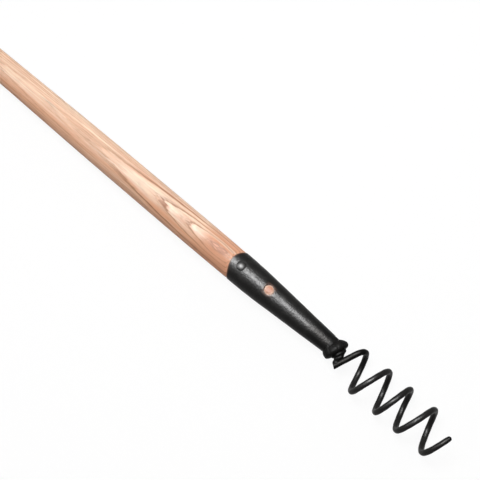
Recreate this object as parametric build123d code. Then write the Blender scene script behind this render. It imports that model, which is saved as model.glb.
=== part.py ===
"""A long-handled corkscrew weeder, lying on the ground with its rivet up.

An ash shaft carries an ash crossbar at one end, on a wedged tenon. The other end is tapered
into a steel socket and held by one rivet. A steel stub closes the socket's small end, where a
flared weld holds it. A steel rod is welded across the stub's end and runs on as a corkscrew.

X runs along the tool to the tip, Y along the crossbar and Z up. Lengths are in millimetres.
Stations along the tool are measured from the middle of the socket's rim.
"""
from build123d import *
from math import cos, dist, pi, radians, sin, sqrt
import os

# Crossbar, a barrel turned from ash
BAR_LENGTH = 245.0
BAR_MID_RADIUS = 17.7
BAR_END_RADIUS = 12.5
BAR_EDGE_ROUND = 5.0

# Ash shaft: slim at the crossbar, with a straight stretch just above the socket
SHAFT_LENGTH = 705.0            # from the socket's rim to the crossbar's axis
SHAFT_TOP_RADIUS = 15.25
SHAFT_MIDDLE_RADIUS = 16.3
SHAFT_MIDDLE_ABOVE_RIM = 380.0
GRIP_RADIUS = 17.75
GRIP_LENGTH = 100.0
GRIP_ABOVE_RIM = 85.0
SHAFT_FOOT_RADIUS = 17.1
FOOT_REVEAL = 1.0               # bare seat left between the shaft's foot and the socket's lip
FOOT_CHAMFER = 2.0

# Tenon through the crossbar, and its wedge
TENON_RADIUS = 10.0
TENON_CLEARANCE = 0.1
COPE_CLEARANCE = 0.1            # shaft's shoulder to the crossbar's round side
WEDGE_THICK = 3.0
WEDGE_THIN = 1.0
WEDGE_DEPTH = 24.0
WEDGE_CLEARANCE = 0.1

# Steel socket: a short bell at the rim, then a cone, open at both ends
SOCKET_LENGTH = 129.0
SOCKET_RIM_RADIUS = 17.6
SOCKET_BELL_LENGTH = 45.0
SOCKET_BELL_RADIUS = 16.1
SOCKET_END_RADIUS = 10.65
SOCKET_WALL = 1.8
SOCKET_RIM_WALL = 1.1
LIP_HEIGHT = 4.7                # the front of the rim stands above its middle by this much
SEAT_CLEARANCE = 0.1
SEAT_TO_STUB = 6.0              # air left between the shaft's end and the stub

# Round window in the front of the socket
WINDOW_STATION = 47.4
WINDOW_RADIUS = 5.5

# Domed rivet through socket and shaft
RIVET_STATION = 8.4
RIVET_SHANK_RADIUS = 2.5
RIVET_HEAD_RADIUS = 5.2
RIVET_HEAD_HEIGHT = 1.6
RIVET_TAIL_RADIUS = 4.2
RIVET_TAIL_HEIGHT = 1.8
RIVET_CLEARANCE = 0.1

# Steel stub that closes the socket's small end and leans over to the rod
STUB_IN_SOCKET = 17.0
STUB_CLEARANCE = 0.1
STUB_RADIUS = 8.4
STUB_STRAIGHT = 10.0            # past the socket's end
STUB_TIP_RADIUS = 3.3
STUB_TO_ROD = 0.2

# Corkscrew rod: a straight lead across the stub's end, then a coil that winds to the left
ROD_RADIUS = 3.0
ROD_ROLL = 9.3                  # degrees that the lead is turned about the shaft, from level
LEAD_PAST_SOCKET = 17.6         # from the socket's end to the middle of the rod's cut end
LEAD_START_ASIDE = 13.9         # the cut end's distance from the shaft's axis
LEAD_END_ASIDE = 9.7            # where the lead ends, on the axis's other side
LEAD_SLOPE = 0.406              # station gained for each millimetre across
LEAD_HEIGHT = 3.5
COIL_RADIUS = 19.2
COIL_PITCH = 29.7
COIL_TURNS = 3.71
COIL_SIDE_OFFSET = 2.0          # the coil's axis lies beside the shaft's
COIL_START_ANGLE = 106.7        # degrees from straight up, before the roll
COIL_PAST_LEAD = 7.5            # from the lead's end to the coil's start, along the tool
POINT_LENGTH = 7.0
POINT_RADIUS = 2.3
ARCS_PER_TURN = 4

# Flared weld round the stub: its crest leans, so that one side lies further along the tool
FLARE_LEAN = 14.8               # degrees
FLARE_OVER_SOCKET = 0.25
FLARE_CREST_RADIUS = 14.0
FLARE_CREST_PAST_SOCKET = 9.6
FLARE_END_RADIUS = 9.6
FLARE_END_PAST_SOCKET = 13.8
FLARE_SIDE_OFFSET = 0.85
FLARE_CROWN_DROP = 1.0          # halfway from the crest to the flare's end
WELD_CLEARANCE = 0.05

# Weld bead where the stub meets the rod
BEAD_RADIUS = 4.4
BEAD_ALONG_LEAD = 7.9           # from the rod's cut end

STUB_START = SOCKET_LENGTH - STUB_IN_SOCKET
SEAT_END = STUB_START - SEAT_TO_STUB
LEAD_START = Vector(SOCKET_LENGTH + LEAD_PAST_SOCKET, -LEAD_START_ASIDE, LEAD_HEIGHT)
LEAD_WAY = Vector(LEAD_SLOPE, 1, 0).normalized()
LEAD_END = LEAD_START + LEAD_WAY * ((LEAD_START_ASIDE + LEAD_END_ASIDE) / LEAD_WAY.Y)


def lathe(*edges):
    """Turn a closed outline, drawn as station and radius, about the shaft's axis."""
    return revolve(make_face(Curve() + list(edges)), Axis.X, 360)


def socket_skin_radius(station):
    """Outer radius of the socket's cone below the bell."""
    share = (station - SOCKET_BELL_LENGTH) / (SOCKET_LENGTH - SOCKET_BELL_LENGTH)
    return SOCKET_BELL_RADIUS + share * (SOCKET_END_RADIUS - SOCKET_BELL_RADIUS)


def bore_outline(top, bottom, inset):
    """Edges of the socket's bore from a top station to a bottom one, drawn in by an inset."""
    rim = SOCKET_RIM_RADIUS - SOCKET_RIM_WALL - inset
    bell = SOCKET_BELL_RADIUS - SOCKET_WALL - inset
    end = socket_skin_radius(bottom) - SOCKET_WALL - inset
    return [
        Line((top, rim), (0, rim)),
        TangentArc((0, rim), (SOCKET_BELL_LENGTH, bell), tangent=(1, 0)),
        Line((SOCKET_BELL_LENGTH, bell), (bottom, end)),
        Line((bottom, end), (bottom, 0)),
    ]


def barrel(grown):
    """The crossbar's barrel about Y, grown all over by a clearance."""
    half = BAR_LENGTH / 2 + grown
    end = BAR_END_RADIUS + grown
    middle = BAR_MID_RADIUS + grown
    outline = Curve() + [
        Line((0, -half), (end, -half)),
        ThreePointArc((end, -half), (middle, 0), (end, half)),
        Line((end, half), (0, half)),
        Line((0, half), (0, -half)),
    ]
    solid = revolve(make_face(outline), Axis.Y, 360)
    rims = solid.edges().filter_by(GeomType.CIRCLE)
    return Pos(-SHAFT_LENGTH, 0, 0) * fillet(rims, BAR_EDGE_ROUND)


def along_x(radius, start, end):
    """A round bar about the shaft's axis between two stations."""
    return Pos((start + end) / 2, 0, 0) * Rot(0, 90, 0) * Cylinder(radius, end - start)


def wedge_blank(grown):
    """Tapered wedge driven from the crossbar's far side, thin across the bar's length."""
    outer = -SHAFT_LENGTH - 2 * BAR_MID_RADIUS
    root = -SHAFT_LENGTH - BAR_MID_RADIUS + WEDGE_DEPTH + grown
    slope = (WEDGE_THICK - WEDGE_THIN) / WEDGE_DEPTH
    thin = WEDGE_THIN / 2 + grown
    thick = thin + slope / 2 * (root - outer)
    outline = Polyline((outer, -thick), (root, -thin), (root, thin), (outer, thick), close=True)
    reach = TENON_RADIUS + SHAFT_TOP_RADIUS
    return extrude(make_face(outline), reach, both=True)


def make_crossbar():
    """Barrel with a round mortise through it."""
    reach = 2 * BAR_MID_RADIUS
    mortise = along_x(TENON_RADIUS + TENON_CLEARANCE, -SHAFT_LENGTH - reach, -SHAFT_LENGTH + reach)
    return barrel(0) - mortise


def make_shaft():
    """Turned shaft with a coped shoulder, a kerfed tenon, a taper in the socket and a rivet hole."""
    top = -SHAFT_LENGTH
    grip_top = -GRIP_ABOVE_RIM - GRIP_LENGTH
    seat_top = -LIP_HEIGHT - FOOT_REVEAL
    foot = seat_top - FOOT_CHAMFER
    seat_radius = SOCKET_RIM_RADIUS - SOCKET_RIM_WALL - SEAT_CLEARANCE
    swell = Spline(
        (top, SHAFT_TOP_RADIUS),
        (-SHAFT_MIDDLE_ABOVE_RIM, SHAFT_MIDDLE_RADIUS),
        (grip_top, GRIP_RADIUS),
        tangents=[(1, 0), (1, 0)],
    )
    body = lathe(
        Line((top, 0), (top, SHAFT_TOP_RADIUS)),
        swell,
        Line((grip_top, GRIP_RADIUS), (-GRIP_ABOVE_RIM, GRIP_RADIUS)),
        TangentArc((-GRIP_ABOVE_RIM, GRIP_RADIUS), (foot, SHAFT_FOOT_RADIUS), tangent=(1, 0)),
        Line((foot, SHAFT_FOOT_RADIUS), (seat_top, seat_radius)),
        *bore_outline(seat_top, SEAT_END, SEAT_CLEARANCE),
        Line((SEAT_END, 0), (top, 0)),
    )
    coped = body - barrel(COPE_CLEARANCE)
    through = along_x(TENON_RADIUS, top - 2 * BAR_MID_RADIUS, top + 2 * BAR_MID_RADIUS)
    tenon = (through & (barrel(COPE_CLEARANCE) + body)) - wedge_blank(WEDGE_CLEARANCE)
    flush = tenon & (barrel(0) + along_x(TENON_RADIUS, top, top + 2 * BAR_MID_RADIUS))
    return coped + flush - rivet_shank(RIVET_CLEARANCE)


def make_wedge():
    """Wedge trimmed to the tenon's round and to the crossbar's far side."""
    tenon = along_x(TENON_RADIUS, -SHAFT_LENGTH - 2 * BAR_MID_RADIUS, -SHAFT_LENGTH + BAR_MID_RADIUS)
    return wedge_blank(0) & tenon & barrel(0)


def socket_blank():
    """The socket's outside, solid, with its rim cut aslant so that the front stands highest."""
    top = -2 * LIP_HEIGHT
    shape = lathe(
        Line((top, 0), (top, SOCKET_RIM_RADIUS)),
        Line((top, SOCKET_RIM_RADIUS), (0, SOCKET_RIM_RADIUS)),
        TangentArc((0, SOCKET_RIM_RADIUS), (SOCKET_BELL_LENGTH, SOCKET_BELL_RADIUS), tangent=(1, 0)),
        Line((SOCKET_BELL_LENGTH, SOCKET_BELL_RADIUS), (SOCKET_LENGTH, SOCKET_END_RADIUS)),
        Line((SOCKET_LENGTH, SOCKET_END_RADIUS), (SOCKET_LENGTH, 0)),
        Line((SOCKET_LENGTH, 0), (top, 0)),
    )
    rim = Plane(origin=(0, 0, 0), z_dir=(1, 0, LIP_HEIGHT / SOCKET_RIM_RADIUS))
    return split(shape, bisect_by=rim, keep=Keep.TOP)


def make_socket():
    """Socket with its bore, the rivet's holes and the round window in front."""
    top = -3 * LIP_HEIGHT
    bottom = SOCKET_LENGTH + SOCKET_WALL
    bore = lathe(
        Line((top, 0), (top, SOCKET_RIM_RADIUS - SOCKET_RIM_WALL)),
        *bore_outline(top, bottom, 0),
        Line((bottom, 0), (top, 0)),
    )
    reach = 2 * SOCKET_RIM_RADIUS
    window = Pos(WINDOW_STATION, 0, reach / 2) * Cylinder(WINDOW_RADIUS, reach)
    return socket_blank() - bore - window - rivet_shank(RIVET_CLEARANCE)


def rivet_shank(grown):
    """Straight shank of the rivet, from the front of the socket to its back."""
    return Pos(RIVET_STATION, 0, 0) * Cylinder(RIVET_SHANK_RADIUS + grown, 2 * SOCKET_RIM_RADIUS)


def rivet_dome(radius, height):
    """A shallow dome on a short skirt, standing on the socket's front, saddled to its round."""
    skirt = SOCKET_RIM_RADIUS - sqrt(SOCKET_RIM_RADIUS**2 - radius**2) + SOCKET_RIM_WALL
    sphere = (radius**2 + height**2) / (2 * height)
    crown = SOCKET_RIM_RADIUS + height
    ball = Pos(RIVET_STATION, 0, crown - sphere) * Sphere(sphere)
    post = Pos(RIVET_STATION, 0, crown - (height + skirt) / 2) * Cylinder(radius, height + skirt)
    return (ball & post) - socket_blank()


def make_rivet():
    """Rivet with a domed head in front and a smaller peened tail behind."""
    head = rivet_dome(RIVET_HEAD_RADIUS, RIVET_HEAD_HEIGHT)
    tail = Rot(180, 0, 0) * rivet_dome(RIVET_TAIL_RADIUS, RIVET_TAIL_HEIGHT)
    back = tail - socket_blank()
    return rivet_shank(0) + head + back


def coil_point(turns):
    """Centre of the rod in the coil, so many turns after its start."""
    angle = radians(COIL_START_ANGLE) + 2 * pi * turns
    station = LEAD_END.X + COIL_PAST_LEAD + COIL_PITCH * turns
    return Vector(station, COIL_RADIUS * sin(angle) - COIL_SIDE_OFFSET, COIL_RADIUS * cos(angle))


def coil_heading(turns):
    """Unit direction of the coil at that place."""
    angle = radians(COIL_START_ANGLE) + 2 * pi * turns
    around = 2 * pi * COIL_RADIUS
    return Vector(COIL_PITCH, around * cos(angle), -around * sin(angle)).normalized()


def two_arcs(start, start_way, end, end_way):
    """Two arcs that leave one point along its heading and reach the next along its own."""
    span = end - start
    both = start_way + end_way
    spread = 2 * (1 - start_way.dot(end_way))
    reach = (sqrt(span.dot(both) ** 2 + spread * span.dot(span)) - span.dot(both)) / spread
    first = start + start_way * reach
    last = end - end_way * reach
    middle = (first + last) * 0.5
    return [
        TangentArc(start, middle, tangent=start_way),
        TangentArc(middle, end, tangent=last - first),
    ]


def rod_path():
    """The rod's centre line: the straight lead, a bend, and the coil's turns."""
    steps = round(COIL_TURNS * ARCS_PER_TURN)
    places = [COIL_TURNS * step / steps for step in range(steps + 1)]
    route = [Line(LEAD_START, LEAD_END)]
    route += two_arcs(LEAD_END, LEAD_WAY, coil_point(0), coil_heading(0))
    for here, after in zip(places, places[1:]):
        route += two_arcs(coil_point(here), coil_heading(here), coil_point(after), coil_heading(after))
    return Wire(route)


def make_corkscrew(path):
    """One rod swept along its path, with a drawn, blunt point."""
    section = Plane(origin=LEAD_START, z_dir=LEAD_WAY) * Circle(ROD_RADIUS)
    rod = sweep(section, path=path)
    share = rod.volume / (pi * ROD_RADIUS**2 * path.length)
    print(f"rod: length {path.length:.1f} mm, swept volume over section times length {share:.4f}")
    tip = Plane(origin=coil_point(COIL_TURNS), z_dir=coil_heading(COIL_TURNS))
    taper = tip * Pos(0, 0, POINT_LENGTH / 2) * Cone(ROD_RADIUS, POINT_RADIUS, POINT_LENGTH)
    blunt = tip * Pos(0, 0, POINT_LENGTH) * Sphere(POINT_RADIUS)
    return rod + taper + blunt


def report_rod_gap(path):
    """Measure the rod's least gap to itself on points along its path, and print it."""
    count = 240
    points = [tuple(path.position_at(step / count)) for step in range(count + 1)]
    apart = round(count * pi * COIL_RADIUS / path.length)
    gaps = [
        dist(points[a], points[b])
        for a in range(count)
        for b in range(a + apart, count + 1)
    ]
    print(f"rod: least gap to itself {min(gaps) - 2 * ROD_RADIUS:.2f} mm")


def bead_seat():
    """Plane on the rod's flank, facing the rod, at the middle of the weld bead."""
    outward = Vector(LEAD_WAY.Y, -LEAD_WAY.X, 0)
    middle = LEAD_START + LEAD_WAY * BEAD_ALONG_LEAD - outward * (ROD_RADIUS + STUB_TO_ROD)
    return Plane(origin=middle, z_dir=outward)


def make_stub():
    """Round stub, tapered to the socket's bore, whose end leans over to the rod's flank."""
    straight_end = SOCKET_LENGTH + STUB_STRAIGHT
    inside = socket_skin_radius(STUB_START) - SOCKET_WALL - STUB_CLEARANCE
    mouth = socket_skin_radius(SOCKET_LENGTH) - SOCKET_WALL - STUB_CLEARANCE
    body = lathe(
        Line((STUB_START, 0), (STUB_START, inside)),
        Line((STUB_START, inside), (SOCKET_LENGTH, mouth)),
        Line((SOCKET_LENGTH, mouth), (SOCKET_LENGTH, STUB_RADIUS)),
        Line((SOCKET_LENGTH, STUB_RADIUS), (straight_end, STUB_RADIUS)),
        Line((straight_end, STUB_RADIUS), (straight_end, 0)),
        Line((straight_end, 0), (STUB_START, 0)),
    )
    root = Plane(origin=(straight_end, 0, 0), z_dir=(1, 0, 0)) * Circle(STUB_RADIUS)
    tip = bead_seat() * Circle(STUB_TIP_RADIUS)
    return body + loft([root, tip])


def make_socket_weld(stub):
    """Flared ring of weld from the socket's end over the stub, with a leaning crest."""
    crest = FLARE_CREST_PAST_SOCKET
    crown = (FLARE_CREST_PAST_SOCKET + FLARE_END_PAST_SOCKET) / 2
    rings = [
        (WELD_CLEARANCE, 0, SOCKET_END_RADIUS + FLARE_OVER_SOCKET),
        (crest / 2, FLARE_LEAN / 2, (SOCKET_END_RADIUS + FLARE_CREST_RADIUS) / 2),
        (crest, FLARE_LEAN, FLARE_CREST_RADIUS),
        (crown, FLARE_LEAN, FLARE_CREST_RADIUS - FLARE_CROWN_DROP),
        (FLARE_END_PAST_SOCKET, FLARE_LEAN, FLARE_END_RADIUS),
    ]
    sections = []
    for past, lean, radius in rings:
        middle = (SOCKET_LENGTH + past, -FLARE_SIDE_OFFSET * lean / FLARE_LEAN, 0)
        way = (cos(radians(lean)), -sin(radians(lean)), 0)
        sections.append(Plane(origin=middle, x_dir=(0, 0, 1), z_dir=way) * Circle(radius))
    return loft(sections) - stub


def make_rod_weld(rod, stub):
    """Weld bead round the stub's tip, filling up to the rod's flank."""
    seat = bead_seat()
    bead = Pos(*(seat.origin + seat.z_dir * STUB_TO_ROD)) * Sphere(BEAD_RADIUS)
    return bead - rod - stub


def main():
    """Build every piece, set the tool on the ground about its middle and write the pieces."""
    path = rod_path()
    report_rod_gap(path)
    rod = make_corkscrew(path)
    stub = make_stub()
    roll = Rot(ROD_ROLL, 0, 0)
    pieces = {
        "handle_crossbar": make_crossbar(),
        "handle_shaft": make_shaft(),
        "tenon_wedge": make_wedge(),
        "head_socket": make_socket(),
        "socket_rivet": make_rivet(),
        "nose_stub": roll * stub,
        "socket_weld": roll * make_socket_weld(stub),
        "rod_weld": roll * make_rod_weld(rod, stub),
        "corkscrew": roll * rod,
    }
    reach = pieces["corkscrew"].bounding_box()
    bar_back = -SHAFT_LENGTH - BAR_MID_RADIUS
    placed = Pos(-(bar_back + reach.max.X) / 2, 0, -reach.min.Z)
    os.makedirs("parts", exist_ok=True)
    for name, piece in pieces.items():
        export_step(placed * piece, f"parts/{name}.step")
        print(f"{name}: {len(piece.solids())} solid, {piece.volume:.0f} cubic mm")
    print(f"the middle of the socket's rim lies at X {placed.position.X:.3f}, Z {placed.position.Z:.3f}")


main()
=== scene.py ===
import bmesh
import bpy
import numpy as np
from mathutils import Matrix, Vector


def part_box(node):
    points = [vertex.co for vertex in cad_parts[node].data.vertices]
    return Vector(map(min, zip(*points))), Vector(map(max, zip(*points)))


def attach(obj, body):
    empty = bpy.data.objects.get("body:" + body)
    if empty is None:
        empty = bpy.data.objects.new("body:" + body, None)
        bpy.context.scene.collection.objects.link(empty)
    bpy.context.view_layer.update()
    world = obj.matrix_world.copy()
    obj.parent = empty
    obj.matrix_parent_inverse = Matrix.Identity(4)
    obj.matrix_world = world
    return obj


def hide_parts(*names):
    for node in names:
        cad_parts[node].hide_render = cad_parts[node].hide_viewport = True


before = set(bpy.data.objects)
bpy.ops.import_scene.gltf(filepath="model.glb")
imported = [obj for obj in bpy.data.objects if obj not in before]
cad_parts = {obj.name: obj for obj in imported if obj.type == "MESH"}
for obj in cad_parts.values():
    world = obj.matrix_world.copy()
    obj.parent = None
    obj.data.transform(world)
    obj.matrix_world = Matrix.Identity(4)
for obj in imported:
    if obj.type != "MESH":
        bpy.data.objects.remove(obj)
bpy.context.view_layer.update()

# %% [markdown]
# This lesson dresses a long corkscrew weeder that lies on a white floor with its rivet up. The
# packed solids are a fixed frame in metres, with +X running along the tool to the corkscrew's tip.
# New surfaces could be fitted to them by eye, but it is safer to measure. So the first thing is to
# list the names of the packed solids.

print("nodes:", sorted(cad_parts))

# %% [markdown]
# The tool is round about one line, so it is easiest to think of it as stations along that line, in
# millimetres from the middle of the socket's rim, each with a side and a front. Two numbers carry
# such a point into the frame: where the rim lies along X, and how high the line lies above the
# floor. Both could be typed in, but taking them from the packed crossbar keeps the two together.

# %% From stations in millimetres to the frame in metres
BAR_STATION = -705.0    # the crossbar's own line
BAR_MIDDLE = 17.7       # the crossbar's radius where the shaft enters it
bar_low, bar_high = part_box("handle_crossbar")
AXIS_HEIGHT = (bar_low.z + bar_high.z) / 2
RIM_X = bar_low.x + (BAR_MIDDLE - BAR_STATION) / 1000.0


def place(station, side, front):
    """Point = (rim + station, side, axis height + front), from millimetres to metres."""
    grid = np.stack(np.broadcast_arrays(station, side, front), axis=-1) / 1000.0
    return grid + np.array([RIM_X, 0.0, AXIS_HEIGHT])


print(f"rim at X {RIM_X:.5f} m, axis {AXIS_HEIGHT:.5f} m above the floor")

# %% [markdown]
# The camera comes first, because every later choice is judged through it. It looks down on the
# head from in front of it, rolled a little, so that the tool crosses the picture from the upper
# left to the lower right with its tip slightly nearer. Its axes are given as three directions,
# which says the roll as well, where a tracked target would leave the roll to chance.

# %% The camera
VIEW_RIGHT = Vector((0.74208, 0.66618, -0.07429)).normalized()
VIEW_BACK = Vector((0.26050, -0.18450, 0.94768)).normalized()
VIEW_UP = VIEW_BACK.cross(VIEW_RIGHT).normalized()
LOOK_AT = Vector((RIM_X - 0.016264, 0.023885, AXIS_HEIGHT))
VIEW_DISTANCE = 0.81495
SENSOR_WIDTH = 36.0
FOCAL_LENGTH = 56.25


def seen_from(offset_right, offset_up, offset_back):
    """Point = look-at + right, up and back steps along the camera's own axes."""
    return LOOK_AT + VIEW_RIGHT * offset_right + VIEW_UP * offset_up + VIEW_BACK * offset_back


def facing(position, right, up, back):
    """A turned place in the world, whose columns are the three axes and the position."""
    turned = Matrix((right, up, back)).transposed().to_4x4()
    turned.translation = position
    return turned


lens = bpy.data.cameras.new("view")
lens.sensor_width = SENSOR_WIDTH
lens.lens = FOCAL_LENGTH
camera = bpy.data.objects.new("view", lens)
camera.matrix_world = facing(seen_from(0, 0, VIEW_DISTANCE), VIEW_RIGHT, VIEW_UP, VIEW_BACK)
bpy.context.scene.collection.objects.link(camera)
bpy.context.scene.camera = camera
bpy.context.scene.view_settings.view_transform = "Standard"
print("camera at", [round(v, 4) for v in camera.matrix_world.translation])

# %% [markdown]
# Shader maths reads best as plain arithmetic. The class below holds one output socket of a
# material, and its operators add the Math nodes. Written out by hand, each sum would take three
# lines and hide its own meaning. One method adds any other node: settings first, then sockets.

# %% Arithmetic on sockets
class Flow:
    """One value in a node tree. Arithmetic on it adds Math nodes to the same tree."""

    def __init__(self, tree, socket=None):
        self.tree = tree
        self.socket = socket

    def node(self, kind, settings=None, sockets=None, out=0):
        """Add a node: settings first, then its sockets' values or links; gives one output or several."""
        made = self.tree.nodes.new(kind)
        for key, value in (settings or {}).items():
            setattr(made, key, value)
        for key, value in (sockets or {}).items():
            if isinstance(value, Flow):
                self.tree.links.new(value.socket, made.inputs[key])
            else:
                made.inputs[key].default_value = value
        if isinstance(out, tuple):
            return [Flow(self.tree, made.outputs[one]) for one in out]
        return Flow(self.tree, made.outputs[out] if len(made.outputs) else None)

    def math(self, operation, *values):
        """Add a Math node with these values or links."""
        return self.node("ShaderNodeMath", {"operation": operation}, dict(enumerate(values)))

    def __add__(self, other):
        return self.math("ADD", self, other)

    def __radd__(self, other):
        return self.math("ADD", other, self)

    def __sub__(self, other):
        return self.math("SUBTRACT", self, other)

    def __rsub__(self, other):
        return self.math("SUBTRACT", other, self)

    def __mul__(self, other):
        return self.math("MULTIPLY", self, other)

    def __rmul__(self, other):
        return self.math("MULTIPLY", other, self)

    def __truediv__(self, other):
        return self.math("DIVIDE", self, other)

    def __rtruediv__(self, other):
        return self.math("DIVIDE", other, self)

    def __pow__(self, other):
        return self.math("POWER", self, other)

    def __rpow__(self, other):
        return self.math("POWER", other, self)

    def between(self, low, high):
        """Smooth step: 0 below the low value, 1 above the high one, eased between."""
        limits = {"From Min": low, "From Max": high, "To Min": 0.0, "To Max": 1.0}
        settings = {"interpolation_type": "SMOOTHSTEP"}
        return self.node("ShaderNodeMapRange", settings, {"Value": self, **limits})

    def mix(self, first, second):
        """Colour = first where this value is 0, second where it is 1."""
        sockets = {0: self, 6: first, 7: second}
        return self.node("ShaderNodeMix", {"data_type": "RGBA"}, sockets, out=2)


print("a Flow adds nodes by its operators and by", [way for way in vars(Flow) if way[0] != "_"])

# %% [markdown]
# Every surface of this lesson is a grid, rows and columns of points that are worked out at once as
# arrays. Extruding and spinning could make such shapes too, but a grid is a formula that can be
# read and changed. Here the corners of its squares are numbered. Where a surface goes round, the
# last line of the grid is joined to the first.

# %% The squares of a grid
def quads_of(rows, columns, rows_close, columns_close):
    """Corner numbers of each square of a grid; a closed direction joins its last line to its first."""
    number = np.arange(rows * columns).reshape(rows, columns)
    if rows_close:
        number = np.concatenate([number, number[:1]], axis=0)
    if columns_close:
        number = np.concatenate([number, number[:, :1]], axis=1)
    squares = [number[:-1, :-1], number[1:, :-1], number[1:, 1:], number[:-1, 1:]]
    return np.stack(squares, axis=-1).reshape(-1, 4)


print("a tube of 3 rings of 8 points has", len(quads_of(3, 8, False, True)), "squares")

# %% [markdown]
# The tool lies on a white studio floor. A white colour under bright lamps could show it, but then
# the lamps would bleach the wood as well. So the floor shows itself to the camera, and to
# reflections, as white light of strength 1, with a thin share of real diffuse floor that keeps the
# soft shadow under the tool. Other rays meet a grey floor, so less light comes back from below.

# %% The floor's finish
WHITE_RAYS = ("Is Camera Ray", "Is Glossy Ray", "Is Transmission Ray")
WHITE_SHARE = 0.92
WHITE = (1.0, 1.0, 1.0, 1.0)
FLOOR_SEEN = (0.97, 0.97, 0.97, 1.0)
FLOOR_UNSEEN = (0.45, 0.45, 0.45, 1.0)


def white_rays(start):
    """1 for a ray that shows the white background: a camera, glossy or transmission ray; else 0."""
    camera_ray, glossy_ray, glass_ray = start.node("ShaderNodeLightPath", out=WHITE_RAYS)
    return start.math("MAXIMUM", camera_ray, start.math("MAXIMUM", glossy_ray, glass_ray))


def floor_shader():
    """Surface = diffuse floor mixed with white light by whether a camera, glossy or glass ray asks."""
    material = bpy.data.materials.new("studio_floor")
    material.use_nodes = True
    material.node_tree.nodes.clear()
    start = Flow(material.node_tree)
    seen = white_rays(start)
    tone = seen.mix(FLOOR_UNSEEN, FLOOR_SEEN)
    lit = start.node("ShaderNodeBsdfDiffuse", None, {"Color": tone})
    white = start.node("ShaderNodeEmission", None, {"Color": WHITE, "Strength": 1.0})
    both = start.node("ShaderNodeMixShader", None, {0: seen * WHITE_SHARE, 1: lit, 2: white})
    start.node("ShaderNodeOutputMaterial", None, {"Surface": both})
    return material


floor_white = floor_shader()
print("floor finish of", len(floor_white.node_tree.nodes), "nodes")

# %% The floor
FLOOR_REACH = 15.0    # metres from the middle to each edge, past what a low view can see
FLOOR_LINES = 13

reach = np.linspace(-FLOOR_REACH, FLOOR_REACH, FLOOR_LINES)
along, across = np.meshgrid(reach, reach, indexing="ij")
corners = np.stack([along, across, np.zeros_like(along)], axis=-1).reshape(-1, 3)
squares = quads_of(FLOOR_LINES, FLOOR_LINES, False, False)
floor_mesh = bpy.data.meshes.new("studio_floor")
floor_mesh.from_pydata(corners.tolist(), [], squares.tolist())
floor_mesh.materials.append(floor_white)
floor = bpy.data.objects.new("studio_floor", floor_mesh)
bpy.context.scene.collection.objects.link(floor)
print("floor of", len(squares), "squares")

# %% [markdown]
# Wood and black steel ask for different light, and one lamp could only please one of them. So each
# of four soft lamps has one job. A key above the camera lights all. A side lamp at the right shapes
# the wood, and reflections don't show it. Two lamps are for reflections alone: a narrow strip that
# draws the streak along the socket, and a broad haze on the handle's side, for steel that turns
# that way. Each is a rectangle with one side along the tool, so that a streak runs along the steel.

# %% The lamps
TOOL_LINE = Vector((1.0, 0.0, 0.0))


def soft_lamp(name, position, power, along, across):
    """A rectangular lamp at a place, one side along the tool, turned to shine at the tool's head."""
    lamp = bpy.data.lights.new(name, "AREA")
    lamp.shape = "RECTANGLE"
    lamp.energy = power
    lamp.size = along
    lamp.size_y = across
    back = (position - LOOK_AT).normalized()
    right = (TOOL_LINE - back * TOOL_LINE.dot(back)).normalized()
    holder = bpy.data.objects.new(name, lamp)
    holder.matrix_world = facing(position, right, back.cross(right), back)
    bpy.context.scene.collection.objects.link(holder)
    print(f"{name}: {power} W, {along} by {across} m")
    return holder


HAZE_PLACE = seen_from(-1.10, 0.28, 0.98) - TOOL_LINE * 0.55
key_lamp = soft_lamp("key_softbox", seen_from(-0.27, 0.60, 1.20), power=15.0, along=0.5, across=0.5)
side_lamp = soft_lamp("side_softbox", seen_from(1.20, 0.95, 0.55), power=9.0, along=1.2, across=1.2)
side_lamp.visible_glossy = False
strip = soft_lamp("gloss_strip", seen_from(-0.235, 0.575, 1.20), power=270.0, along=0.60, across=0.22)
strip.visible_diffuse = False
haze = soft_lamp("gloss_haze", HAZE_PLACE, power=62.0, along=0.7, across=0.9)
haze.visible_diffuse = False

# %% [markdown]
# The studio's white walls fill in the shadows. A sky picture could do that, but an even world is
# easier to judge colours by. It lights the tool at a low level, so that together with the lamps a
# colour renders about as it is written. The camera and reflections see it as plain white.

# %% The world
FILL = 0.18

world = bpy.data.worlds.new("studio")
world.use_nodes = True
bpy.context.scene.world = world
backdrop = world.node_tree.nodes["Background"]
backdrop.inputs["Color"].default_value = WHITE
white = white_rays(Flow(world.node_tree))
strength = FILL + (1.0 - FILL) * white
world.node_tree.links.new(strength.socket, backdrop.inputs["Strength"])
print("world fill of", FILL)

# %% [markdown]
# A grid becomes a piece in one helper. It puts the points into a mesh, merges those that meet at
# seams and poles, and turns the faces outwards. Modifiers could do the same later, but a mesh that
# is closed from the start needs none of them. A piece may be made of several grids,
# and it may carry marks, one number for each point, which its finish can read.

# %% From grids to a piece
MERGE_WITHIN = 2e-6    # metres


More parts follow.
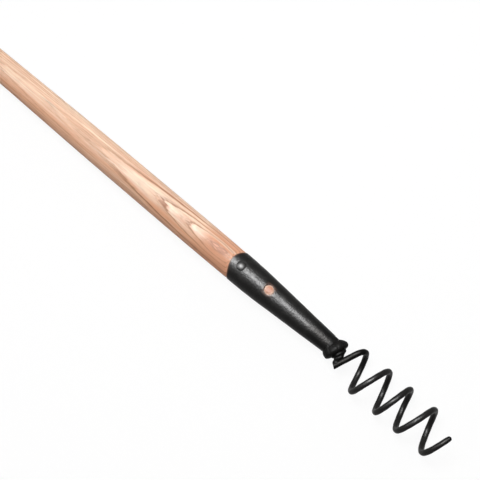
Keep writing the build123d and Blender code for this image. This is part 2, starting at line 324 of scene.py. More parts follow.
def piece_from(name, points, faces, finish, slot, node, sharp=40.0, **marks):
    """Make a mesh piece from points and faces, close its seams and let it stand for a node."""
    mesh = bpy.data.meshes.new(name)
    mesh.from_pydata(points.reshape(-1, 3).tolist(), [], faces.tolist())
    for mark, values in marks.items():
        mesh.attributes.new(mark, "FLOAT", "POINT").data.foreach_set("value", values.ravel())
    work = bmesh.new()
    work.from_mesh(mesh)
    bmesh.ops.remove_doubles(work, verts=work.verts, dist=MERGE_WITHIN)
    bmesh.ops.recalc_face_normals(work, faces=work.faces)
    work.to_mesh(mesh)
    work.free()
    mesh.shade_smooth()
    mesh.set_sharp_from_angle(angle=np.radians(sharp))
    mesh.materials.append(finish)
    piece = bpy.data.objects.new(name, mesh)
    bpy.context.scene.collection.objects.link(piece)
    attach(piece, "root")
    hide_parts(node)
    mesh.calc_loop_triangles()
    print(f"{name}: {len(mesh.vertices)} points, {len(mesh.loop_triangles)} triangles")
    return piece


print("points within", MERGE_WITHIN, "m of each other become one")

# %% [markdown]
# Turned and forged shapes swell and ease without corners. Straight runs between measured points
# would show as facets, so two helpers round them: a step that starts and ends softly, and a curve
# through given points with given slopes.

# %% Soft steps and curves
def eased(value):
    """Smooth step from 0 to 1: 3 v v - 2 v v v of the value held between 0 and 1."""
    held = np.clip(value, 0.0, 1.0)
    return held * held * (3.0 - 2.0 * held)


def through(at, knots, values, slopes):
    """Curve through the knots with the given slopes: the usual cubic Hermite between each pair."""
    knots, values, slopes = map(np.asarray, (knots, values, slopes))
    span = np.clip(np.searchsorted(knots, at, side="right") - 1, 0, len(knots) - 2)
    width = knots[span + 1] - knots[span]
    share = (at - knots[span]) / width
    rise = share * share * (3.0 - 2.0 * share)
    leave = width * share * (1.0 - share) ** 2
    arrive = width * share * share * (share - 1.0)
    level = values[span] + (values[span + 1] - values[span]) * rise
    return level + slopes[span] * leave + slopes[span + 1] * arrive


print("a quarter of the way, the soft step has risen by", eased(0.25))

# %% [markdown]
# Every finish here starts from the same shader. A node group could hold what they share, but short
# functions do it in plain sight: one makes the material, one links what varies over the surface,
# one reads a mark of the mesh, and one gives the surface a fine relief.

# %% The start of a finish
def new_surface(name):
    """A material with a Principled surface; gives the material, its shader and a Flow to build with."""
    material = bpy.data.materials.new(name)
    material.use_nodes = True
    shader = material.node_tree.nodes["Principled BSDF"]
    return material, shader, Flow(material.node_tree)


def feed(shader, **flows):
    """Link values to the shader's sockets, whose names are written with underscores."""
    for key, flow in flows.items():
        flow.tree.links.new(flow.socket, shader.inputs[key.replace("_", " ")])


def mark_of(start, mark):
    """The number that the mesh carries at each point under this name, or 0 if it has none."""
    return start.node("ShaderNodeAttribute", {"attribute_name": mark}, out="Fac")


def relief_of(height, strength, distance):
    """A normal bent by this height, whose unit is so many metres deep."""
    return height.node("ShaderNodeBump", None, {"Strength": strength, "Distance": distance, "Height": height})


print("finishes share", [part.__name__ for part in (new_surface, feed, mark_of, relief_of)])

# %% [markdown]
# Ash is a pale wood with strong growth rings. Where a round shaft is turned from a straight board,
# the rings lie almost flat in it and run out slowly along its length, so they meet the surface as
# long nested arches. A ring texture round the shaft's own middle would give parallel lines instead.
# Here the rings are flat layers that rise along the shaft: gently at first, then steeply, and near
# the socket over a small hump with a dip in it, which draws the closed brown eye that is seen there.
# Crossbar and wedge are other boards, so their layers lie in other ways.

# %% How the layers lie in the wood
GENTLE_RISE = 0.01                        # millimetres of rise for each millimetre of length
STEEP_RISE, STEEP_FROM, STEEP_SOFT = 0.04, -170.0, 30.0    # added from a station on, softly
EASED_RISE, EASED_FROM, EASED_SOFT = 0.055, -34.0, 10.0    # taken off again
SIDE_BEND = 0.013
EYE_STATION, EYE_SIDE = -21.0, -0.9       # its middle
EYE_LONG = 0.5                            # share of the squared length, so it is longer than wide
HUMP, HUMP_FALL = 0.95, 0.014
DIP, DIP_FALL = 0.60, 0.09
FIRST_LAYER = 16.1                        # where the count of layers starts


def ramp(length, start, soft):
    """0 before the start, rising one for one after it, rounded over the soft length."""
    past = length - start
    square = past * past + soft * soft
    return 0.5 * (past + square.math("SQRT", square))


def shaft_figure(length, side, height):
    """Layers = height + rises - side bend + eye - first layer.

    The eye is hump e^(-fall d) - dip e^(-fall d), with d = long * length^2 + side^2 from its middle.
    """
    rise = GENTLE_RISE * length + STEEP_RISE * ramp(length, STEEP_FROM, STEEP_SOFT)
    rise = rise - EASED_RISE * ramp(length, EASED_FROM, EASED_SOFT)
    bend = SIDE_BEND * side * side.math("ABSOLUTE", side)
    past = length - EYE_STATION
    aside = side - EYE_SIDE
    apart = past * past * EYE_LONG + aside * aside
    hump = HUMP * apart.math("EXPONENT", apart * -HUMP_FALL)
    dip = DIP * apart.math("EXPONENT", apart * -DIP_FALL)
    eye = (hump - dip) * height.between(0.0, 6.0)
    return height + rise - bend + eye - FIRST_LAYER


def bar_figure(length, side, height):
    """Layers that stand aslant and run almost level along the crossbar, with a slow bend to one side."""
    return 0.56 * height - 0.83 * side + 0.009 * length + 0.004 * side * side


def wedge_figure(length, side, height):
    """Layers along the wedge's broad sides, as in a slab that was split along its grain."""
    return 0.97 * side + 0.09 * height + 0.004 * length + 0.5


print("the eye lies", -EYE_STATION, "mm above the rim")

# %% [markdown]
# Wood's marks are long along the grain and narrow across it. A texture on the frame's own axes would
# run the same way in every piece. So each piece of wood gets its own axes in millimetres: length
# along its grain, side and height across. Noise is stretched along the first of them, and moved by
# an offset of its own for each use, so that no two marks repeat each other.

# %% Places in the wood, and noise along its grain
def grain_of(start, turn, centre):
    """Place in the wood in millimetres: the object's own place - the centre, times 1000, turned."""
    spot = start.node("ShaderNodeTexCoord", out="Object")
    shift = start.node("ShaderNodeVectorMath", {"operation": "SUBTRACT"}, {0: spot, 1: centre})
    turned = {"Vector": shift, "Rotation": turn, "Scale": (1000.0,) * 3}
    return start.node("ShaderNodeMapping", None, turned)


def grain_noise(grain, long, wide, detail, offset):
    """Noise whose marks are so many millimetres long along the grain and wide across it."""
    moved = {"Vector": grain, "Location": (offset,) * 3, "Scale": (1.0 / long, 1.0 / wide, 1.0 / wide)}
    spread = grain.node("ShaderNodeMapping", None, moved)
    return grain.node("ShaderNodeTexNoise", None, {"Vector": spread, "Scale": 1.0, "Detail": detail})


print("wood places come from", grain_of.__name__, "and its marks from", grain_noise.__name__)

# %% [markdown]
# Each year's layer starts pale and turns brown and porous towards its border. One ramp of colours
# over the layer could say that, but separate masks let every line fade by itself where the real
# shaft shows less of it. A slow sine makes wide and narrow years, and two noises shake the lines.
# A second thin line runs before each border, and four fine ones fill the year.

# %% The brown of the rings
YEAR = 2.58           # mean thickness of a layer, in millimetres
YEAR_SWING = 1.008    # how far wide and narrow years swing
YEAR_BEAT = 0.609     # radians of that swing for each millimetre
FINE_BEAT = 25.13     # radians for each year, which makes four fine lines


def layers_of(grain, figure, seed):
    """Layer = (depth - swing sin(beat depth)) / year, with depth the figure shaken by two noises."""
    slow = grain_noise(grain, long=120.0, wide=14.0, detail=2.0, offset=seed) - 0.5
    quick = grain_noise(grain, long=15.0, wide=2.2, detail=3.0, offset=seed + 3.1) - 0.5
    depth = figure + (slow * 0.8 + quick * 1.2)
    return (depth - YEAR_SWING * depth.math("SINE", depth * YEAR_BEAT)) / YEAR


def ring_brown(layer, part, dots, calm, firm):
    """Brown = (late wood + second line + fine lines) * calm + dotted border * firm."""
    late = part ** 4.0 * 0.22
    second = part.between(0.60, 0.67) * (1.0 - part.between(0.70, 0.78)) * 0.42
    fine = (0.5 + 0.5 * layer.math("SINE", layer * FINE_BEAT)) ** 3.0 * 0.16
    border = part.between(0.76, 0.90) * (1.0 - part.between(0.95, 1.0)) * (0.35 + 1.3 * dots)
    return (late + second + fine) * calm + border * firm


print("a year of ash is", YEAR, "mm thick")

# %% [markdown]
# The ground between the lines is no single colour either. On the real tool the shaft is paler and
# plainer at its upper end, bolder lower down, and warm and reddish at its foot, where it enters the
# steel. Painting that by hand is possible, but masks of length and side are easier to change. Those
# of length are the shaft's alone: socketed is 1 for it, and 0 for crossbar and wedge. The mask of
# side is painted shade: the flank away from the light is made warmer and darker, with calmer rings.

# %% The ground between the lines
CREAM_ASH = (0.95, 0.80, 0.635, 1.0)
PALE_ASH = (0.88, 0.60, 0.43, 1.0)
WARM_ASH = (0.79, 0.405, 0.243, 1.0)


def zones_of(length, side, contrast, socketed):
    """Masks: the shaft's foot, how bold the rings are, how firm their borders, and painted shade on the flank
    away from the light.
    """
    foot = socketed * length.between(-58.0, -26.0)
    upper = 1.0 - length.between(-200.0, -120.0)
    bold = contrast * (1.0 - 0.45 * socketed * upper)
    firm = 0.52 + 0.36 * socketed * length.between(-172.0, -135.0)
    # Painted shade: a mask of the flank away from the light, where the wood is made darker and warmer.
    painted_shade = (0.0 - side).between(2.0, 11.0)
    return foot, bold, firm, painted_shade


def ground_colour(grain, side, part, foot, bold, painted_shade, seed):
    """Pale to warm by patches and foot, darker on the flank away from the light as painted shade; cream in
    thin streaks and early in each year.
    """
    streak = grain_noise(grain, long=90.0, wide=2.4, detail=3.0, offset=seed + 9.4).between(0.36, 0.66)
    blotch = grain_noise(grain, long=140.0, wide=15.0, detail=2.0, offset=seed + 17.9).between(0.32, 0.68)
    # Painted shade: warmer, darker ground on the flank away from the light.
    flank_shade = (0.0 - side).between(1.0, 13.0)
    warmth = (blotch + streak) * (0.2 + 0.3 * bold) + flank_shade * 0.28 + foot
    thin = grain_noise(grain, long=80.0, wide=1.9, detail=2.0, offset=seed + 29.0).between(0.50, 0.66)
    # Painted shade: less cream on the flank away from the light.
    broad = (thin * (0.6 - 0.5 * painted_shade)).mix(warmth.mix(PALE_ASH, WARM_ASH), CREAM_ASH)
    early = (1.0 - part) ** 1.6 * part.between(-0.05, 0.22)
    early = early * (1.0 - 0.92 * foot) * (1.0 - 0.95 * painted_shade)
    return (early * 1.05 * bold).mix(broad, CREAM_ASH)


print("ground tones:", CREAM_ASH[:3], PALE_ASH[:3], WARM_ASH[:3])

# %% [markdown]
# The finish of the wood puts these together: ground, brown rings broken up by the fibres, open
# pores, a handled tone at the foot, painted shade that darkens the wood in the window, and a pale
# ring round the window's edge that is a painted highlight. A wood picture would be quicker, but it
# would not follow the rings from the front to the end of the tenon, as this does. The oiled surface
# is dull, with only a trace of gloss, and the pores are sunk a little.

# %% Ash
RING_BROWN = (0.38, 0.165, 0.09, 1.0)
HANDLED_AND_SHADE_ASH = (0.50, 0.20, 0.13, 1.0)
WOOD_GLOSS = 0.035


def ash(name, turn, centre, figure, contrast, socketed, seed):
    """Ground, then brown rings, pores, handled tone with painted shade in the window, and a painted highlight
    round the window's edge, each mixed in by its own mask.
    """
    material, shader, start = new_surface(name)
    grain = grain_of(start, turn, centre)
    length, side, height = start.node("ShaderNodeSeparateXYZ", None, {0: grain}, out=(0, 1, 2))
    foot, bold, firm, painted_shade = zones_of(length, side, contrast, socketed)
    layer = layers_of(grain, figure(length, side, height), seed)
    part = layer.math("FRACT", layer)
    fibre = grain_noise(grain, long=36.0, wide=1.0, detail=3.0, offset=seed + 7.7)
    pores = grain_noise(grain, long=9.0, wide=0.5, detail=1.0, offset=seed + 11.3).between(0.54, 0.70)
    dots = grain_noise(grain, long=4.0, wide=0.5, detail=1.0, offset=seed + 31.0)
    patches = grain_noise(grain, long=60.0, wide=7.0, detail=1.0, offset=seed + 23.0)
    strength = (0.45 + 0.95 * patches) * bold * (1.0 - 0.2 * foot)
    # Painted shade: calmer rings on the flank away from the light.
    brown = ring_brown(layer, part, dots, 1.0 - 0.75 * painted_shade, firm) * strength
    ground = ground_colour(grain, side, part, foot, bold, painted_shade, seed)
    ringed = (brown * (0.30 + 1.3 * fibre)).mix(ground, RING_BROWN)
    dark = pores * (0.12 + 0.8 * brown) + fibre.between(0.52, 0.72) * 0.28
    # Handled tone at the foot, and painted shade that darkens the wood in the window, as in the window's
    # recess.
    handled_and_recess_shade = foot * 0.2 + socketed * length.between(12.0, 30.0) * 0.45
    marked = handled_and_recess_shade.mix(dark.mix(ringed, RING_BROWN), HANDLED_AND_SHADE_ASH)
    # Painted highlight: a pale ring round the window's edge, from the edge mark.
    marked = (mark_of(start, "edge") * 0.35).mix(marked, CREAM_ASH)
    rough = 0.36 + 0.12 * fibre + 0.10 * brown
    bump = relief_of(fibre * 0.25 - pores * (0.25 + brown), strength=0.22, distance=0.0004)
    feed(shader, Base_Color=marked, Roughness=rough, Normal=bump)
    shader.inputs["Specular IOR Level"].default_value = WOOD_GLOSS
    return material


STRAIGHT = (0.0, 0.0, 0.0)
ALONG_BAR = (0.0, 0.0, -np.pi / 2)
SHAFT_CENTRE = (RIM_X, 0.0, AXIS_HEIGHT)
BAR_CENTRE = (RIM_X + BAR_STATION / 1000.0, 0.0, AXIS_HEIGHT)
shaft_ash = ash("ash_shaft", STRAIGHT, SHAFT_CENTRE, shaft_figure, contrast=1.0, socketed=1.0, seed=4.0)
bar_ash = ash("ash_crossbar", ALONG_BAR, BAR_CENTRE, bar_figure, contrast=0.6, socketed=0.0, seed=21.0)
wedge_ash = ash("ash_wedge", STRAIGHT, BAR_CENTRE, wedge_figure, contrast=1.3, socketed=0.0, seed=33.0)
for wood in (shaft_ash, bar_ash, wedge_ash):
    print(f"{wood.name}: {len(wood.node_tree.nodes)} nodes")

# %% [markdown]
# The steel head wears one satin black coat. One black with one roughness would look like plastic.
# The real coat, over forged steel and welds, keeps a fine orange-peel skin, broader dull patches,
# greyer rubbed spots and brown edges where it is worn through. Where the steel was heated, it is
# burnt and hardly shines. The gloss level is one number for a whole surface, so a burnt place is
# turned towards a metal of almost no colour instead, which dims what it reflects.

# %% Black coat
BLACK = (0.0034, 0.0030, 0.0026, 1.0)
RUBBED_BLACK = (0.012, 0.0105, 0.009, 1.0)
WORN_BROWN = (0.15, 0.068, 0.040, 1.0)
BURNT_BLACK = (0.0009, 0.00086, 0.00082, 1.0)


def black_coat(name, peel, dull, shine, seed):
    """Black with a skin relief; tone and roughness wander in patches, edges wear brown, burnt places dim."""
    material, shader, start = new_surface(name)
    spot = start.node("ShaderNodeTexCoord", out="Object")
    moved = {"Vector": spot, "Location": (seed,) * 3, "Scale": (1000.0,) * 3}
    here = start.node("ShaderNodeMapping", None, moved)

    def noise(size, detail):
        """Noise whose marks are about so many millimetres across."""
        return start.node("ShaderNodeTexNoise", None, {"Vector": here, "Scale": 1.0 / size, "Detail": detail})

    skin = noise(0.9, 3.0)
    grit = noise(1.9, 3.0)
    patch = noise(7.0, 3.0)
    broad = noise(28.0, 2.0)
    burnt = mark_of(start, "scale")
    rubbed = patch.between(0.50, 0.80) * broad.between(0.35, 0.75)
    tone = rubbed.mix(BLACK, RUBBED_BLACK)
    tone = (mark_of(start, "edge") * (0.45 + 0.8 * patch)).mix(tone, WORN_BROWN)
    tone = burnt.mix(tone, BURNT_BLACK)
    rough = dull + 0.14 * patch + 0.14 * skin + 0.05 * burnt
    bump = relief_of((skin + grit * 5.5 + patch * 3.0) * peel, strength=0.33, distance=0.0003)
    feed(shader, Base_Color=tone, Roughness=rough, Metallic=0.9 * burnt, Normal=bump)
    shader.inputs["Specular IOR Level"].default_value = shine
    return material


socket_black = black_coat("black_socket", peel=0.70, dull=0.28, shine=0.075, seed=1.3)
rivet_black = black_coat("black_rivet", peel=0.2, dull=0.30, shine=0.12, seed=3.4)
rod_black = black_coat("black_rod", peel=0.45, dull=0.31, shine=0.080, seed=5.9)
weld_black = black_coat("black_weld", peel=0.6, dull=0.40, shine=0.028, seed=9.2)
for coat in (socket_black, rivet_black, rod_black, weld_black):
    print(f"{coat.name}: {len(coat.node_tree.nodes)} nodes")

# %% [markdown]
# The crossbar is a barrel turned between centres, fullest where the shaft enters and well rounded
# at its ends. Spin could turn it from a drawn outline. Here the same outline, a long shallow arc
# with a small round at each end, is carried round Y on a grid whose points lie closer on the far
# side. The shaft's tenon comes through there, and the barrel is sunk to make room for its end.

# %% The crossbar's outline
BAR_HALF = 122.5      # half its length
BAR_END = 12.5        # the barrel's radius at its ends, before they are rounded
BAR_ROUND = 5.0       # the round of each end
NEAR_TENON = 14.0     # closer to the middle than this, the outline has more points
BAR_SAG = BAR_MIDDLE - BAR_END
BAR_ARC = (BAR_HALF**2 + BAR_SAG**2) / (2.0 * BAR_SAG)


def bar_radius(across):
    """Barrel radius = middle - (arc - sqrt(arc^2 - across^2))."""
    return BAR_MIDDLE - BAR_ARC + np.sqrt(BAR_ARC**2 - across**2)


def crossbar_outline():
    """Half outline from pole to pole: end disc, end round, long arc, and the same mirrored."""
    round_at = BAR_HALF - BAR_ROUND
    round_r = BAR_MIDDLE - BAR_ARC + np.sqrt((BAR_ARC - BAR_ROUND) ** 2 - round_at**2)
    lean = np.arctan2(round_at, BAR_ARC - BAR_MIDDLE + round_r)
    turn = np.linspace(np.pi / 2, lean, 14)
    disc = np.linspace(0.0, round_r, 8)[:-1]
    arc_end = round_at + BAR_ROUND * np.sin(lean)
    outer = np.linspace(arc_end, NEAR_TENON, 60)[1:]
    side = np.concatenate([outer, np.linspace(NEAR_TENON, 0.0, 71)[1:-1]])
    across = np.concatenate([np.full(len(disc), BAR_HALF), round_at + BAR_ROUND * np.sin(turn), side])
    radius = np.concatenate([disc, round_r + BAR_ROUND * np.cos(turn), bar_radius(side)])
    middle = np.array([0.0])
    both_across = np.concatenate([across, middle, -across[::-1]])
    return both_across, np.concatenate([radius, bar_radius(middle), radius[::-1]])


print(f"barrel arc of {BAR_ARC:.0f} mm, outline of {len(crossbar_outline()[0])} points")

# %% The crossbar
TENON = 10.0          # radius of the shaft's tenon
TENON_SINK = 1.5      # how deep the barrel is sunk under the tenon's end
SINK_GAP, SINK_WIDTH = 0.05, 0.35    # where its edge starts beside the tenon, and over what it rises


def make_crossbar():
    """Barrel = (bar station - r cos a, across, r sin a), sunk inside the tenon's circle behind."""
    across, radius = crossbar_outline()
    wide = np.linspace(-1.0, 1.0, 221)[:-1]
    angle = np.pi * (0.55 * wide + 0.45 * wide**3)
    grid_r = np.repeat(radius[:, None], len(angle), axis=1)
    from_tenon = np.hypot(across[:, None], grid_r * np.sin(angle))
    sunk = TENON_SINK * (1.0 - eased((from_tenon - TENON - SINK_GAP) / SINK_WIDTH))
    grid_r = grid_r - np.where(np.cos(angle) > 0.0, sunk, 0.0)
    points = place(BAR_STATION - grid_r * np.cos(angle), across[:, None], grid_r * np.sin(angle))
    faces = quads_of(len(across), len(angle), False, True)
    return piece_from("crossbar", points, faces, bar_ash, "ash_wood", "handle_crossbar")


crossbar = make_crossbar()

# %% [markdown]
# The shaft is turned too: slim at the crossbar, swelling slowly to a straight stretch above the
# socket, then eased in to a chamfered foot, and cut back inside the steel to the socket's own bell
# and cone. A bevelled curve with a few radii could stand for it, but each of its rings would be a
# flat circle. The socket's rim is not flat: in front it reaches up in a lip, and the chamfer of
# the wood follows it. So each stretch has its formula, and the rim has one too.

# %% The shaft's outline
SHAFT_TOP = 15.25                # radius at the crossbar
SHAFT_FULL = 17.75               # radius of the straight stretch
SWELL_END = -85.0                # station where that stretch ends
SWELL = ([BAR_STATION, -380.0, -185.0, SWELL_END], [SHAFT_TOP, 16.3, SHAFT_FULL, SHAFT_FULL],
         [0.0, 0.0087886, 0.0, 0.0])
FOOT_END, FOOT_DROP = -7.7, 0.65           # where the foot's chamfer starts, and how far it is eased in
CHAMFER_END, CHAMFER_SLOPE = -5.7, 0.35
SEAT_TOP, SEAT_BELL = 16.4, 14.2           # radii inside the steel, at the bell's rim and at its foot
SEAT_END, SEAT_END_RADIUS = 106.0, 10.243
BELL_LENGTH = 45.0
RIM_BACK = 2.0                   # station of the rim behind
LIP, LIP_WIDTH, LIP_TURN = 6.2, 0.93, np.radians(5.0)    # reach, width in radians, turn of its middle


def rim_line(turn):
    """Station of the socket's rim: back - lip e^(-(t / width)^2), with t the turn from the lip's middle."""
    t = (turn - LIP_TURN + np.pi) % (2.0 * np.pi) - np.pi
    return RIM_BACK - LIP * np.exp(-((t / LIP_WIDTH) ** 2))


def bell_and_cone(station, rim, bell, end, length):
    """Rim - (rim - bell) (s / bell length)^2 down to the bell's foot, then a straight cone to the end."""
    curve = rim - (rim - bell) * (np.clip(station, 0.0, BELL_LENGTH) / BELL_LENGTH) ** 2
    share = (station - BELL_LENGTH) / (length - BELL_LENGTH)
    return np.where(station < BELL_LENGTH, curve, bell + (end - bell) * share)


def shaft_radius(station):
    """Swell, a shallow arc to the foot, a chamfer, then the socket's bell and cone."""
    swell = through(np.minimum(station, SWELL_END), *SWELL)
    foot = SHAFT_FULL - FOOT_DROP * ((station - SWELL_END) / (FOOT_END - SWELL_END)) ** 2
    chamfer = SHAFT_FULL - FOOT_DROP - CHAMFER_SLOPE * (station - FOOT_END)
    seat = bell_and_cone(station, SEAT_TOP, SEAT_BELL, SEAT_END_RADIUS, SEAT_END)
    limits = [station <= SWELL_END, station <= FOOT_END, station <= CHAMFER_END]
    return np.select(limits, [swell, foot, chamfer], seat)


print("shaft radii at the crossbar, above the socket and at the bell's foot:",
      shaft_radius(np.array([BAR_STATION, SWELL_END, BELL_LENGTH])))

# %% [markdown]
# The shaft's upper end is coped, cut hollow to fit round the crossbar. A Boolean could cut it, but
# the grid can simply start there: its first ring of points lies on the barrel, and the next ones
# ease to flat circles. The same grid lets the wood stand up in the socket's round window, and marks
# a pale ring round its edge, which is a painted highlight.

# %% The shaft's grid
COPE_END = -670.0                # station where the rings are flat circles
COPE_SINK = 0.3                  # how far the cope goes into the barrel
LIP_TOP = 4.1                    # the outline holds for the top of the lip, so far above station 0
WINDOW_STATION, WINDOW = 47.4, 5.5   # its middle and its radius
WINDOW_PROUD = 1.0               # how far the wood stands up from its seat in the window


def shaft_stations():
    """Stations of the flat rings: even along the shaft, closer at the foot and round the window."""
    swell = np.linspace(COPE_END, SWELL_END, 160)
    foot = np.linspace(SWELL_END, FOOT_END, 40)[1:]
    chamfer = [-6.7, CHAMFER_END, -4.0]
    bell = np.linspace(-2.0, 41.0, 20)
    window = np.linspace(WINDOW_STATION - 6.0, WINDOW_STATION + 6.0, 25)
    return np.concatenate([swell, foot, chamfer, bell, window, np.linspace(54.0, SEAT_END, 20)])


def shaft_grid():
    """Lathe surface whose first ring is coped: station = bar + sqrt(barrel radius^2 - front^2)."""
    angle = np.linspace(0.0, 2.0 * np.pi, 160, endpoint=False)
    side, front = SHAFT_TOP * np.sin(angle), SHAFT_TOP * np.cos(angle)
    cope = BAR_STATION + np.sqrt(bar_radius(side) ** 2 - front**2) - COPE_SINK
    coped = cope + (COPE_END - cope) * np.linspace(0.0, 1.0, 12)[:-1, None]
    flat = np.repeat(shaft_stations()[:, None], len(angle), axis=1)
    station = np.concatenate([coped, flat])
    radius = shaft_radius(station)
    near_rim = eased((station + 60.0) / 50.0) * (1.0 - eased((station - 5.0) / 30.0))
    station = station + (rim_line(angle) + LIP_TOP) * near_rim
    round_way = radius * (np.mod(angle + np.pi, 2.0 * np.pi) - np.pi)
    apart = np.hypot(station - WINDOW_STATION, round_way)
    radius = radius + WINDOW_PROUD * eased((WINDOW - 0.05 - apart) / 0.6)
    # Painted highlight: a pale ring round the window's edge, kept as the edge mark of the wood.
    wear_and_highlight = eased((apart - 3.2) / 1.2) * (1.0 - eased((apart - 5.6) / 0.3))
    pole = np.zeros((1, len(angle)))
    station = np.concatenate([pole + cope.min(), station, pole + SEAT_END])
    radius = np.concatenate([pole, radius, pole])
    points = place(station, radius * np.sin(angle), radius * np.cos(angle))
    return points, np.concatenate([wear_and_highlight[:1], wear_and_highlight, pole])


print("shaft of", len(shaft_stations()), "flat rings")

# %% [markdown]
# The tenon goes right through the crossbar, and its end is cut flush behind. Only that end shows, so
# it is a small disc that follows the barrel, with a softened edge and a skirt that closes it below.
# Modelling the hidden tenon would add nothing. Shaft and disc are one piece of wood of two skins.

# %% The tenon's end and the whole shaft
def tenon_grid():
    """Disc on the barrel's far side: station = bar - sqrt(barrel radius^2 - front^2), with a skirt."""
    angle = np.linspace(0.0, 2.0 * np.pi, 96, endpoint=False)
    disc = np.linspace(0.0, TENON - 0.25, 24)
    ring = np.concatenate([disc, [TENON - 0.1, TENON - 0.03, TENON, TENON, 0.0]])[:, None]
    drop = np.concatenate([np.full(len(disc), 0.08), [0.10, 0.16, 0.28, 2.5, 2.5]])[:, None]
    side, front = ring * np.cos(angle), ring * np.sin(angle)
    return place(BAR_STATION - np.sqrt(bar_radius(side) ** 2 - front**2) + drop, side, front)


def make_shaft():
    """The coped shaft and its tenon's end, as one piece of two skins."""
    (shaft, wear_and_highlight), tenon = shaft_grid(), tenon_grid()
    rows, columns = shaft.shape[:2]
    first = quads_of(rows, columns, False, True)
    second = quads_of(*tenon.shape[:2], False, True) + rows * columns
    points = np.concatenate([shaft.reshape(-1, 3), tenon.reshape(-1, 3)])
    edge = np.concatenate([wear_and_highlight.ravel(), np.zeros(len(points) - wear_and_highlight.size)])
    faces = np.concatenate([first, second])
    return piece_from("shaft", points, faces, shaft_ash, "ash_wood", "handle_shaft", 25.0, edge=edge)


shaft = make_shaft()

# %% [markdown]
# A thin wedge, driven into a saw cut in the tenon's end, spreads the tenon and locks the crossbar
# on. A scaled cube would have the right sides but a flat end. So the wedge is a slab of rings that
# widen towards its thick end, with an end face that follows the barrel as the tenon's does.

# %% The wedge
WEDGE_THICK, WEDGE_THIN, WEDGE_DEPTH = 3.0, 1.0, 24.0    # at its end, at its root, and between them
WEDGE_CLEAR = 0.2     # what the wedge stays inside the tenon's round


def make_wedge():
    """Slab: half thickness t, half height h; rings of (t x, h z) for x, z round a square."""
    angle = np.linspace(0.0, 2.0 * np.pi, 80, endpoint=False)
    around = np.maximum(np.abs(np.sin(angle)), np.abs(np.cos(angle)))
    thick, high = np.sin(angle) / around, np.cos(angle) / around
    way = np.linspace(0.0, 1.0, 24)
    face = np.linspace(0.97, 0.0, 12)
    half = (WEDGE_THIN + (WEDGE_THICK - WEDGE_THIN) * way) / 2.0
    half = np.concatenate([half[:1], half, np.full(len(face), half[-1])])[:, None]
    size = np.concatenate([[0.0], np.ones(len(way)), face])[:, None]
    share = np.concatenate([[0.0], way, np.ones(len(face))])[:, None]
    side = size * half * thick
    front = size * (np.sqrt(TENON**2 - half**2) - WEDGE_CLEAR) * high
    flush = BAR_STATION - np.sqrt(bar_radius(side) ** 2 - front**2)
    root = BAR_STATION - BAR_MIDDLE + WEDGE_DEPTH
    points = place(root + (flush - root) * share, side, front)
    faces = quads_of(*points.shape[:2], False, True)
    return piece_from("wedge", points, faces, wedge_ash, "ash_wood", "tenon_wedge")


wedge = make_wedge()

# %% [markdown]
# The socket is a cone rolled from sheet, with a short bell at its rim, a lip that reaches up in
# front, and a round window. A Boolean could cut it, but would leave thin, uneven faces. Instead
# the grid itself is bent: squares of grid lines round the window are pushed out into circles, so
# the hole has a clean edge, and outer and inner wall share the same grid.

# %% The socket's grid, bent round the window
SOCKET_LENGTH = 129.0
RIM, BELL, SOCKET_END = 17.6, 16.1, 10.65    # radii at the rim, the bell's foot and the end
BENT = 10.0           # half the side of the square of grid lines that is bent
SLANT_LENGTH = 36.0   # the lip's reach is spread over this length of the wall


def window_lines(middle, low, high, coarse):
    """Grid lines that are close near the window, with one on each side of its square."""
    close = np.linspace(-BENT, BENT, 41)
    before = np.linspace(low, middle - BENT, coarse[0])[:-1]
    after = np.linspace(middle + BENT, high, coarse[1])[1:]
    return np.concatenate([before, middle + close, after])


def bend_to_circle(along, across):
    """Inside the bent square: circle of the same size near the window, easing to the square outside."""
    square = np.maximum(np.abs(along), np.abs(across))
    length = np.maximum(np.hypot(along, across), 1e-9)
    keep = np.where(square >= BENT, 1.0, eased((square - WINDOW) / (BENT - WINDOW)))
    factor = keep + (1.0 - keep) * square / length
    return along * factor, across * factor, square


def socket_grid():
    """Station, station slanted to the rim's line, angle, and half the side of its square round the window."""
    stations = window_lines(WINDOW_STATION, 0.0, SOCKET_LENGTH, (40, 60))
    flat = BELL - 0.15
    edge = np.arcsin(BENT / flat)
    near = np.arcsin(np.linspace(-BENT, BENT, 41) / flat)
    angle = np.concatenate([near, np.linspace(edge, 2.0 * np.pi - edge, 90)[1:-1]])
    wrapped = np.where(angle > np.pi, angle - 2.0 * np.pi, angle)
    across = np.where(np.abs(wrapped) <= edge + 1e-9, flat * np.sin(wrapped), 2.0 * BENT)
    along_bent, across_bent, square = bend_to_circle(stations[:, None] - WINDOW_STATION, across[None, :])
    in_square = square < BENT
    station = np.where(in_square, WINDOW_STATION + along_bent, stations[:, None])
    turn = np.where(in_square, np.arcsin(np.clip(across_bent / flat, -1.0, 1.0)), wrapped[None, :])
    slant = rim_line(turn) * (1.0 - eased(station / SLANT_LENGTH))
    return station, station + slant, turn, square


print("socket grid of", socket_grid()[0].shape, "points")

# %% [markdown]
# The wall of the socket is thin at the rim and full from the bell's foot on, and forging has left
# it slightly wavy. Solidify could thicken one skin, but a thickness that changes would need weights
# on its points. So the outer and the inner wall are two radii over the same grid, joined by a round
# lip at the rim.

# %% The socket's walls
WALL, RIM_WALL = 1.8, 1.1        # thickness from the bell's foot on, and at the rim
COAT_SETBACK = 0.12              # keeps the waves inside the solid's size
WINDOW_SOFT, SOFT_WIDTH = 0.2, 0.7    # how far the wall dips at the window, and over what width


def wave(station, turn):
    """Slow unevenness of a forged wall in millimetres: a few sines of station and angle."""
    first = np.sin(station * 0.11 + 2.0 * turn + 0.6) * np.sin(3.0 * turn - 0.4)
    second = np.sin(station * 0.23 - turn + 1.9)
    third = np.sin(station * 0.47 + 5.0 * turn)
    return 0.06 * first + 0.035 * second + 0.02 * third


